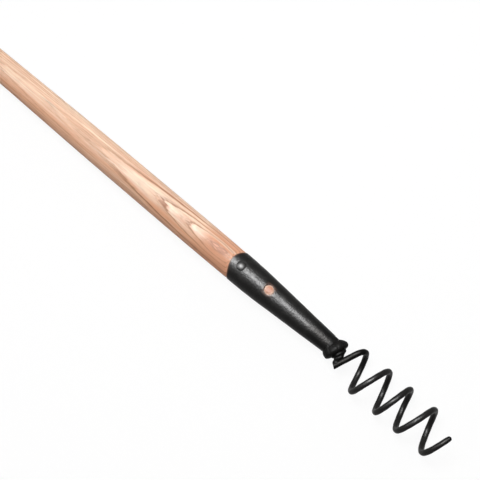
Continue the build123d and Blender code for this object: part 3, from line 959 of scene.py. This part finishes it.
def socket_walls(station, slanted, turn, square):
    """Rings of (station, radius, angle): down the outer wall, up the inner one, and round the lip."""
    ideal = bell_and_cone(slanted, RIM, BELL, SOCKET_END, SOCKET_LENGTH)
    outer_r = ideal + wave(station, turn) - COAT_SETBACK
    outer_r = outer_r - WINDOW_SOFT * (1.0 - eased((square - WINDOW) / SOFT_WIDTH))
    inner_r = ideal - (RIM_WALL + (WALL - RIM_WALL) * np.clip(slanted / BELL_LENGTH, 0.0, 1.0))
    bend = np.linspace(0.0, np.pi, 9)[1:-1, None]
    middle_r, half = (outer_r[0] + inner_r[0]) / 2, (outer_r[0] - inner_r[0]) / 2
    lip_r = middle_r + half * np.cos(bend)
    lip_station = slanted[0] - half * np.sin(bend)
    lip_turn = np.repeat(turn[:1], len(bend), axis=0)
    all_station = np.concatenate([slanted, slanted[::-1], lip_station[::-1]])
    all_r = np.concatenate([outer_r, inner_r[::-1], lip_r[::-1]])
    return all_station, all_r, np.concatenate([turn, turn[::-1], lip_turn])


walls = socket_walls(*socket_grid())
print(f"socket radii from {walls[1].min():.2f} to {walls[1].max():.2f} mm")

# %% [markdown]
# The window goes through both walls. Its squares are left out of the grid, and a band of faces from
# the outer to the inner wall closes its edge. Filling such an edge by hand would work once, but not
# after a change of size. Here the faces are found where a square that is left out meets one that
# stays, so they follow any grid.

# %% The window's edge
def window_holes(square):
    """True for each square of the wall whose four corners lie within the window's edge."""
    beside = np.roll(square, -1, axis=1)
    corners = [square[:-1], square[1:], beside[:-1], beside[1:]]
    hole = np.zeros(square.shape, bool)
    hole[:-1] = np.maximum.reduce(corners) <= WINDOW + 1e-6
    return hole


def window_band(hole):
    """Faces between outer and inner wall along each grid line where the hole starts or ends."""
    rows, columns = hole.shape
    outer = np.arange(rows * columns).reshape(rows, columns)
    inner = (2 * rows - 1 - np.arange(rows))[:, None] * columns + np.arange(columns)
    i, j = np.nonzero(hole[:-1] != hole[1:])
    i, after = i + 1, (j + 1) % columns
    across_wall = np.stack([outer[i, j], outer[i, after], inner[i, after], inner[i, j]], axis=1)
    i, j = np.nonzero(hole != np.roll(hole, 1, axis=1))
    along_wall = np.stack([outer[i, j], outer[i + 1, j], inner[i + 1, j], inner[i, j]], axis=1)
    return np.concatenate([across_wall, along_wall])


print("window of", window_holes(socket_grid()[3]).sum(), "squares")

# %% [markdown]
# On the real socket the coat is worn brown along the rim and round the window, and burnt towards the
# welds. Such places could be painted, but they follow the shape, so they are worked out with it and
# kept as marks on the points, where the finish reads them.

# %% The socket
WINDOW_WEAR, WINDOW_WEAR_WIDTH = 0.55, 2.6
RIM_WEAR_FROM, RIM_WEAR_WIDTH = 0.2, 1.1
BURNT, BURNT_FROM, BURNT_WIDTH = 0.62, 90.0, 32.0


def make_socket():
    """Two walls and a lip as one closed grid, less the window's squares, plus the window's band."""
    station, slanted, turn, square = socket_grid()
    all_station, all_r, all_turn = socket_walls(station, slanted, turn, square)
    rows, columns = station.shape
    hole = window_holes(square)
    keep = np.ones(all_r.shape, bool)
    keep[:rows] &= ~hole
    keep[rows:2 * rows - 1] &= ~hole[:-1][::-1]
    grid_faces = quads_of(len(all_r), columns, True, True)[keep.ravel()]
    faces = np.concatenate([grid_faces, window_band(hole)])
    points = place(all_station, all_r * np.sin(all_turn), all_r * np.cos(all_turn))
    near_window = WINDOW_WEAR * (1.0 - eased((square - WINDOW) / WINDOW_WEAR_WIDTH))
    near_rim = 1.0 - eased((station - RIM_WEAR_FROM) / RIM_WEAR_WIDTH)
    wear_and_highlight = np.zeros(all_r.shape)
    wear_and_highlight[:rows] = np.maximum(near_window, near_rim)
    wear_and_highlight[2 * rows:] = 1.0
    burnt = BURNT * eased((all_station - BURNT_FROM) / BURNT_WIDTH)
    return piece_from("socket", points, faces, socket_black, "black_coating", "head_socket", 50.0,
                      edge=wear_and_highlight, scale=burnt)


socket = make_socket()

# %% [markdown]
# One rivet pins socket and shaft. In front it has a low round dome, behind a smaller peened one. A
# squashed ball could stand for each, but the socket is round too, and a gap would show at two sides.
# So each dome is a disc of rings whose foot follows the socket's side, with a skirt sunk into it.

# %% The rivet
RIVET_STATION = 8.4
HEAD_RADIUS, HEAD_HEIGHT = 5.2, 1.45
TAIL_RADIUS, TAIL_HEIGHT = 4.3, 1.4


def rivet_head(radius, height, facing_front):
    """Low dome: front = side of the socket + height (1 - (r / radius)^2)^0.8, with a sunk foot."""
    angle = np.linspace(0.0, 2.0 * np.pi, 64, endpoint=False)
    share = np.sin(np.linspace(0.0, np.pi / 2, 26))
    dome = np.concatenate([height * (1.0 - share**2) ** 0.8, [-1.0, -1.0]])[:, None]
    ring = radius * np.concatenate([share, [1.0, 0.0]])[:, None]
    side, along = ring * np.sin(angle), ring * np.cos(angle)
    ground = RIM - 0.45 * (side / radius) ** 2 * (radius / RIM) - 0.15
    front = np.minimum(ground + dome, np.sqrt(RIM**2 - side**2) + dome + 0.25)
    return place(RIVET_STATION + along, side, facing_front * front)


def make_rivet():
    """Both heads of the rivet as one piece."""
    head = rivet_head(HEAD_RADIUS, HEAD_HEIGHT, 1.0)
    tail = rivet_head(TAIL_RADIUS, TAIL_HEIGHT, -1.0)
    faces = quads_of(*head.shape[:2], False, True)
    points = np.concatenate([head.reshape(-1, 3), tail.reshape(-1, 3)])
    both = np.concatenate([faces, faces + head.shape[0] * head.shape[1]])
    return piece_from("rivet", points, both, rivet_black, "black_coating", "socket_rivet", 60.0)


rivet = make_rivet()

# %% [markdown]
# Below the socket the steel is rough: a flared ring of weld, a stub that leans over to one side, and
# a bead that catches the rod. Sculpting would suit such lumps, but it can't be repeated. So flare and
# stub are stacks of leaning circles, and the bead is a ball, with ripples laid on as the welder's
# beads would be. All are turned about the tool's line by the same angle as the rod, and the rod's
# straight lead gives the bead its place.

# %% Leaning circles
ROLL = np.radians(9.3)                                     # turn of the whole head about the tool's line
LEAD_START = np.array([SOCKET_LENGTH + 18.3, -13.9, 3.5])  # start of the rod's lead: station, side, front
LEAD_SLOPE = 0.406                                         # its run along the tool for each step aside
LEAD_WAY = np.array([LEAD_SLOPE, 1.0, 0.0]) / np.hypot(LEAD_SLOPE, 1.0)
LEAD_FLANK = np.array([LEAD_WAY[1], -LEAD_WAY[0], 0.0])
FRONT = np.array([0.0, 0.0, 1.0])


def rolled(points):
    """Turn points about the tool's line: side' = side cos - front sin, front' = side sin + front cos."""
    side = points[..., 1] * np.cos(ROLL) - points[..., 2] * np.sin(ROLL)
    front = points[..., 1] * np.sin(ROLL) + points[..., 2] * np.cos(ROLL)
    return place(points[..., 0], side, front)


def leaning_rings(middle, lean, radius):
    """Circle in a plane leaned about the front: middle + r (sin a * leaned side + cos a * front)."""
    pole = 0.0 * radius[:1]
    radius = np.concatenate([pole, radius, pole])
    middle = np.concatenate([middle[:1], middle, middle[-1:]])
    tilt = np.radians(np.concatenate([lean[:1], lean, lean[-1:]]))
    angle = np.linspace(0.0, 2.0 * np.pi, radius.shape[1], endpoint=False)
    across = np.stack([np.sin(tilt), np.cos(tilt), 0.0 * tilt], axis=-1)[:, None, :]
    spread = np.sin(angle)[None, :, None] * across + np.cos(angle)[None, :, None] * FRONT
    return middle[:, None, :] + radius[:, :, None] * spread


def weld_piece(name, points, node):
    """A rough black piece from one closed grid."""
    faces = quads_of(*points.shape[:2], False, True)
    return piece_from(name, rolled(points), faces, weld_black, "black_coating", node, 70.0)


print("the rod's lead slopes by", round(float(np.degrees(np.arctan(LEAD_SLOPE))), 1), "degrees")

# %% The flared weld
FLARE_LEAN, FLARE_LEAN_MORE = 12.5, 5.0    # degrees, and what its last part adds
FLARE_KNOTS = np.array([0.0, 0.12, 0.25, 0.38, 0.52, 0.64, 0.78, 0.88, 0.95, 1.0])
FLARE_ALONG = np.array([-2.0, 1.2, 2.8, 4.1, 6.2, 7.7, 9.9, 11.7, 13.0, 13.7])
FLARE_RADIUS = np.array([9.9, 10.4, 10.8, 11.8, 13.0, 13.6, 13.8, 13.0, 11.2, 8.8])


def make_socket_weld():
    """Rings from the socket's end over a leaning crest and in again, with small lumps of weld."""
    u = np.linspace(0.0, 1.0, 90)
    past = through(u, FLARE_KNOTS, FLARE_ALONG, np.gradient(FLARE_ALONG, FLARE_KNOTS))
    radius = through(u, FLARE_KNOTS, FLARE_RADIUS, np.gradient(FLARE_RADIUS, FLARE_KNOTS))
    lean = FLARE_LEAN * eased(u / 0.25) + FLARE_LEAN_MORE * eased((u - 0.7) / 0.3)
    middle = np.stack([SOCKET_LENGTH + past, -0.4 * lean / FLARE_LEAN, 0.0 * u], axis=-1)
    angle = np.linspace(0.0, 2.0 * np.pi, 120, endpoint=False)
    u = u[:, None]
    lumps = 0.22 * np.sin(5.0 * angle + 7.0 * u) * np.sin(3.0 * angle - 4.0 * u + 1.0)
    ripple = 0.10 * np.sin(17.0 * angle + 9.0 * u)
    grown = radius[:, None] + (lumps + ripple) * eased(u / 0.3)
    return weld_piece("weld_flare", leaning_rings(middle, lean, grown), "socket_weld")


socket_weld = make_socket_weld()

# %% The stub
STUB_KNOTS = np.array([0.0, 0.35, 0.6, 0.8, 1.0])
STUB_STATION = np.array([138.0, 143.0, 144.6, 145.7, 147.0])
STUB_ASIDE = np.array([-0.8, -1.3, -2.6, -4.4, -6.6])
STUB_LEAN = np.array([14.0, 22.4, 25.8, 33.0, 30.0])    # degrees
STUB_RADIUS = np.array([9.4, 8.5, 7.0, 5.5, 4.4])
STUB_FRONT = 2.2      # how far its end comes forward


def make_stub():
    """Rings from inside the flare to the rod's flank, leaning over as they go, with ridges of weld."""
    u = np.linspace(0.0, 1.0, 80)
    rows = (STUB_STATION, STUB_ASIDE, STUB_LEAN, STUB_RADIUS)
    station, aside, lean, width = (through(u, STUB_KNOTS, row, np.gradient(row, STUB_KNOTS)) for row in rows)
    ridges = 0.30 * np.cos(2.0 * np.pi * (u - 0.5) / 0.36) * eased(u / 0.3)
    middle = np.stack([station, aside, STUB_FRONT * eased(u)], axis=-1)
    angle = np.linspace(0.0, 2.0 * np.pi, 96, endpoint=False)
    u = u[:, None]
    lumps = 0.2 * np.sin(4.0 * angle + 6.0 * u) + 0.1 * np.sin(9.0 * angle - 5.0 * u)
    return weld_piece("stub", leaning_rings(middle, lean, (width + ridges)[:, None] + lumps), "nose_stub")


stub = make_stub()

# %% The bead
BEAD = 4.1                          # its radius
BEAD_LONG, BEAD_FLAT = 0.95, 0.88   # shares of it along the lead and out of its flank


def make_rod_weld():
    """Lumpy bead on the rod's start: a ball (long cos u, flat sin u sin a, sin u cos a) with low waves."""
    up = np.linspace(0.0, np.pi, 40)[:, None]
    angle = np.linspace(0.0, 2.0 * np.pi, 64, endpoint=False)
    fade = np.sin(up) ** 2
    radius = BEAD + 0.2 * np.sin(3.0 * angle + 1.0) * fade + 0.12 * np.sin(7.0 * angle) * fade
    along = (BEAD_LONG * radius * np.cos(up))[..., None] * LEAD_WAY
    outward = (BEAD_FLAT * radius * np.sin(up) * np.sin(angle))[..., None] * LEAD_FLANK
    front = (radius * np.sin(up) * np.cos(angle))[..., None] * FRONT
    heap = LEAD_START + LEAD_WAY * 3.3 - LEAD_FLANK * 1.8 - FRONT * 0.8
    return weld_piece("weld_bead", heap + along + outward + front, "rod_weld")


rod_weld = make_rod_weld()

# %% [markdown]
# The corkscrew is one round rod. It starts with a cut end, runs straight across the stub, bends, and
# winds on as an open left-hand coil to a drawn, blunt point. Its turns are uneven and a little square,
# as if wound by hand. The Screw modifier would make every turn alike. Here the path is worked out
# first: a straight lead, a bend of two arcs, a coil that sways along the tool, and a short straight
# end.

# %% The coil
COIL, PITCH, TURNS = 19.1, 29.7, 3.71      # radius of the rod's middle line, rise of a turn, their count
COIL_START = np.radians(106.7)
COIL_ASIDE, COIL_DRIFT, DRIFT_TURNS = 2.0, 0.5, 0.4    # shift to one side, and what its start adds
COIL_SQUARE = 0.045
COIL_SETBACK = 0.04                        # keeps the front inside the solid's size
SWAY_TURNS = [0.0, 0.45, 1.25, 1.55, 2.35, 3.2, 3.71]
SWAY = [0.0, -0.8, 1.6, -0.2, -3.0, -1.0, -0.7]
SWAY_SLOPES = [6.0, 0.0, 0.0, -4.0, 0.0, 1.7, 1.0]
LEAD_ASIDE, BEND_RISE = 23.6, 6.8          # how far the lead runs aside, and the coil starts past it
LEAD_END = LEAD_START + LEAD_WAY * (LEAD_ASIDE / LEAD_WAY[1])
COIL_STATION = LEAD_END[0] + BEND_RISE


def coil(turns):
    """Coil = (start + pitch * turns + sway, R (sin a - square sin 3a) - aside - drift, R cos a)."""
    angle = COIL_START + 2.0 * np.pi * turns
    station = COIL_STATION + PITCH * turns + through(turns, SWAY_TURNS, SWAY, SWAY_SLOPES)
    across = COIL * (np.sin(angle) - COIL_SQUARE * np.sin(3.0 * angle))
    across = across - COIL_ASIDE - COIL_DRIFT * eased(turns / DRIFT_TURNS)
    return np.stack([station, across, (COIL - COIL_SETBACK) * np.cos(angle)], axis=-1)


def coil_way(turns):
    """Unit direction of the coil, from two points a small step apart."""
    step = coil(turns + 1e-4) - coil(turns - 1e-4)
    return step / np.linalg.norm(step, axis=-1, keepdims=True)


print("coil from", coil(np.array(0.0)).round(1), "to", coil(np.array(TURNS)).round(1))

# %% The rod's path
POINT_LENGTH = 9.2    # the straight end of the coil
CUT_BEFORE = 0.035    # share of the lead by which the cut end stands out before its start


def arc(start, way, end, count):
    """Arc that leaves start along way and reaches end: start + r (sin b * way + (1 - cos b) * inward)."""
    chord = end - start
    span = np.linalg.norm(chord)
    half = np.arccos(np.dot(way, chord) / span)
    inward = (chord / span - np.cos(half) * way) / np.sin(half)
    radius = span / (2.0 * np.sin(half))
    turn = np.linspace(0.0, 2.0 * half, count)[:, None]
    return start + radius * (np.sin(turn) * way + (1.0 - np.cos(turn)) * inward)


def bend_between(start, way, end, end_way, count):
    """Two arcs that join two headings smoothly, each meeting the other half way."""
    span, both = end - start, way + end_way
    spread = 2.0 * (1.0 - np.dot(way, end_way))
    run = np.dot(span, both)
    reach = (np.sqrt(run**2 + spread * np.dot(span, span)) - run) / spread
    first, last = start + way * reach, end - end_way * reach
    middle = (first + last) / 2.0
    turn = (last - first) / np.linalg.norm(last - first)
    return np.concatenate([arc(start, way, middle, count), arc(middle, turn, end, count)[1:]])


def rod_path():
    """Centre line of the rod: lead, bend, coil and the straight length of its point."""
    lead = LEAD_START + (LEAD_END - LEAD_START) * np.linspace(-CUT_BEFORE, 1.0, 32)[:, None]
    bend = bend_between(LEAD_END, LEAD_WAY, coil(np.array(0.0)), coil_way(np.array(0.0)), 16)
    winding = coil(np.linspace(0.0, TURNS, 460))
    tip = winding[-1] + coil_way(np.array(TURNS)) * np.linspace(0.0, POINT_LENGTH, 44)[:, None]
    return np.concatenate([lead, bend[1:], winding[1:], tip[1:]])


path = rod_path()
steps = np.linalg.norm(np.diff(path, axis=0), axis=1)
print(f"rod path of {len(path)} points, {steps.sum():.1f} mm long")

# %% [markdown]
# A curve with a bevel could follow the path, with a radius at each of its points, but its rings would
# all be circles. A ring of points carried along it is free: stout and slanted at the cut end, slimmer
# before the point, then a short cone and a round cap, with slow waves for the marks of the hammer. It
# needs a steady direction to start from. The tool's own line serves, because the rod never runs along
# it. Towards both ends the coat is darker and duller, as on steel that was heated.

# %% The rod's radius
ROD = 3.1             # radius of the rod
STOUT = 0.2           # what the cut end is thicker
SLIM = 0.25           # what the end before the point is thinner
POINT = 2.5           # radius of the blunt point
CONE_LENGTH = 5.0
CUT_ROUND = 0.35      # how far the cut end's edge is rounded off

gone = np.concatenate([[0.0], np.cumsum(steps)])
left = gone[-1] - gone


def rod_radius():
    """Rod + stout start - slim end, then a cone to the point and a cap sqrt(point^2 - depth^2)."""
    stout = ROD + STOUT * (1.0 - eased((gone - 18.0) / 30.0))
    slim = stout - SLIM * (1.0 - eased((left - 12.0) / 20.0))
    cone = POINT + (slim - POINT) * np.clip((left - POINT) / CONE_LENGTH, 0.0, 1.0)
    cap = np.sqrt(np.clip(POINT**2 - np.clip(POINT - left, 0.0, POINT) ** 2, 0.0, None))
    cut = CUT_ROUND * (1.0 - np.clip(gone / 0.5, 0.0, 1.0)) ** 2
    return np.where(left < POINT, cap, cone) - cut


def hammered(angle):
    """Waves of the radius in millimetres, never outwards, that fade towards the point."""
    first = 0.05 * np.sin(gone[:, None] * 0.55 + 2.0 * angle)
    second = 0.04 * np.sin(gone[:, None] * 0.23 - 3.0 * angle + 2.0)
    return (first + second - 0.09) * np.clip(left / 12.0, 0.0, 1.0)[:, None]


def burnt_ends():
    """How far the coat is burnt: 0.9 at both ends, falling off in two steps from each."""
    from_start = 0.9 - 0.4 * eased((gone - 30.0) / 16.0) - 0.5 * eased((gone - 66.0) / 14.0)
    from_point = 0.9 - 0.3 * eased((left - 3.0) / 5.0) - 0.6 * eased((left - 11.0) / 10.0)
    return np.maximum(from_start, from_point)


print(f"rod radius: {rod_radius().max():.2f} mm at the start, {ROD} in the coil, {POINT} at the point")

# %% The corkscrew
CUT_SLANT, CUT_REACH = 0.3, 7.0    # the cut end is not square; its slant is gone after this length


def make_corkscrew():
    """Tube: path + r (cos b * aside + sin b * across), with aside the tool's line made square to it."""
    way = np.gradient(path, axis=0)
    way /= np.linalg.norm(way, axis=1, keepdims=True)
    aside = np.array([1.0, 0.0, 0.0]) - way * way[:, :1]
    aside /= np.linalg.norm(aside, axis=1, keepdims=True)
    across = np.cross(way, aside)
    angle = np.linspace(0.0, 2.0 * np.pi, 40, endpoint=False)
    radius = rod_radius()[:, None] + hammered(angle)
    slant = -CUT_SLANT * (1.0 - eased(gone / CUT_REACH))[:, None] * radius * np.cos(angle)
    turn = angle[None, :, None]
    ring = np.cos(turn) * aside[:, None, :] + np.sin(turn) * across[:, None, :]
    tube = path[:, None, :] + radius[:, :, None] * ring + slant[:, :, None] * way[:, None, :]
    pole = np.repeat(path[:1, None, :], len(angle), axis=1)
    points = rolled(np.concatenate([pole, tube]))
    burnt = burnt_ends()
    burnt = np.repeat(np.concatenate([burnt[:1], burnt])[:, None], len(angle), axis=1)
    faces = quads_of(*points.shape[:2], False, True)
    return piece_from("corkscrew_rod", points, faces, rod_black, "black_coating", "corkscrew", 50.0,
                      scale=burnt)


corkscrew = make_corkscrew()

# %% [markdown]
# Last, the view layer is brought up to date, so that every piece stands where it was placed. No
# piece may stand out of the solids' box. Looking would not do, because a tenth of a millimetre
# can't be seen.

# %% Bringing the scene up to date
bpy.context.view_layer.update()
